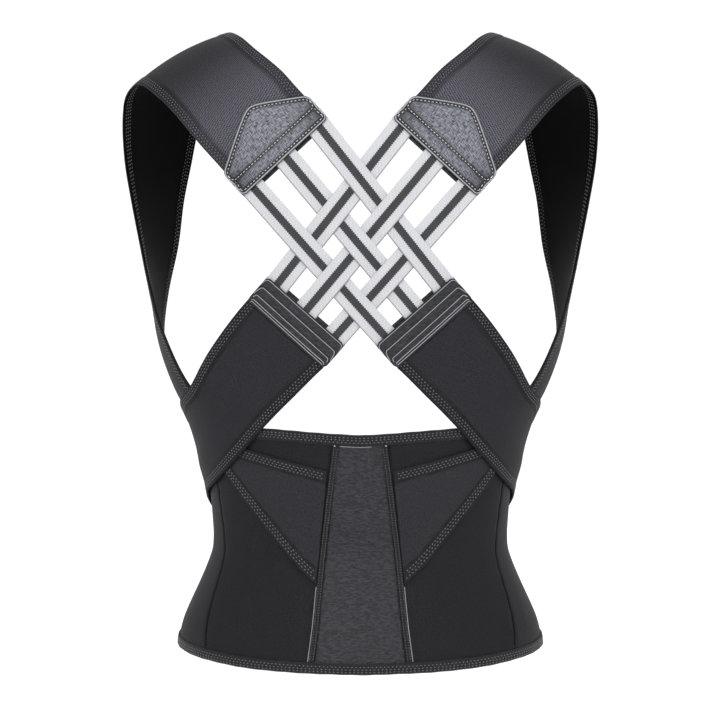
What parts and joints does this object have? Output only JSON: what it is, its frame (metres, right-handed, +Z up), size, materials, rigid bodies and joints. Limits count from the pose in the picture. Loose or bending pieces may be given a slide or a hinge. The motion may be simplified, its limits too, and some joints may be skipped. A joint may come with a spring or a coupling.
{
  "type": "posture corrector",
  "caption": "Back brace with a waist band, shoulder straps, cross straps and a lattice of flat elastics on the back.",
  "frame": {"origin": "on the wearer's axis at the waist, the narrowest height of the band", "axes": "+Z up, the wearer faces +Y, so the back of the brace faces -Y and +X is the wearer's right"},
  "size_m": [0.4074, 0.229, 0.5243],
  "materials": {
    "knit_fabric": "matt knit",
    "binding_tape": "woven tape",
    "smooth_leatherette": "semi-matt",
    "grained_leatherette": "fine cross grain",
    "elastic_webbing": "ribbed, with a dark middle stripe"
  },
  "bodies": {
    "root": {"back_center_panel": "smooth_leatherette", "top_binding": "binding_tape", "bottom_binding": "binding_tape", "waist_back_left": "knit_fabric", "waist_back_right": "knit_fabric", "channel_left": "smooth_leatherette", "channel_right": "smooth_leatherette", "wing_left": "knit_fabric", "wing_right": "knit_fabric", "cross_strap_left": "knit_fabric", "cross_strap_right": "knit_fabric", "lower_tab_front_left": "smooth_leatherette", "lower_tab_front_right": "smooth_leatherette", "lower_tab_back_left": "smooth_leatherette", "lower_tab_back_right": "smooth_leatherette", "upper_tab_front_left": "grained_leatherette", "upper_tab_front_right": "grained_leatherette", "upper_tab_back_left": "smooth_leatherette", "upper_tab_back_right": "smooth_leatherette", "shoulder_strap_left": "knit_fabric", "shoulder_strap_right": "knit_fabric", "front_wrap_left": "knit_fabric", "front_wrap_right": "knit_fabric", "elastic_left_1": "elastic_webbing", "elastic_left_2": "elastic_webbing", "elastic_left_3": "elastic_webbing", "elastic_right_1": "elastic_webbing", "elastic_right_2": "elastic_webbing", "elastic_right_3": "elastic_webbing"}
  },
  "joints": []
}
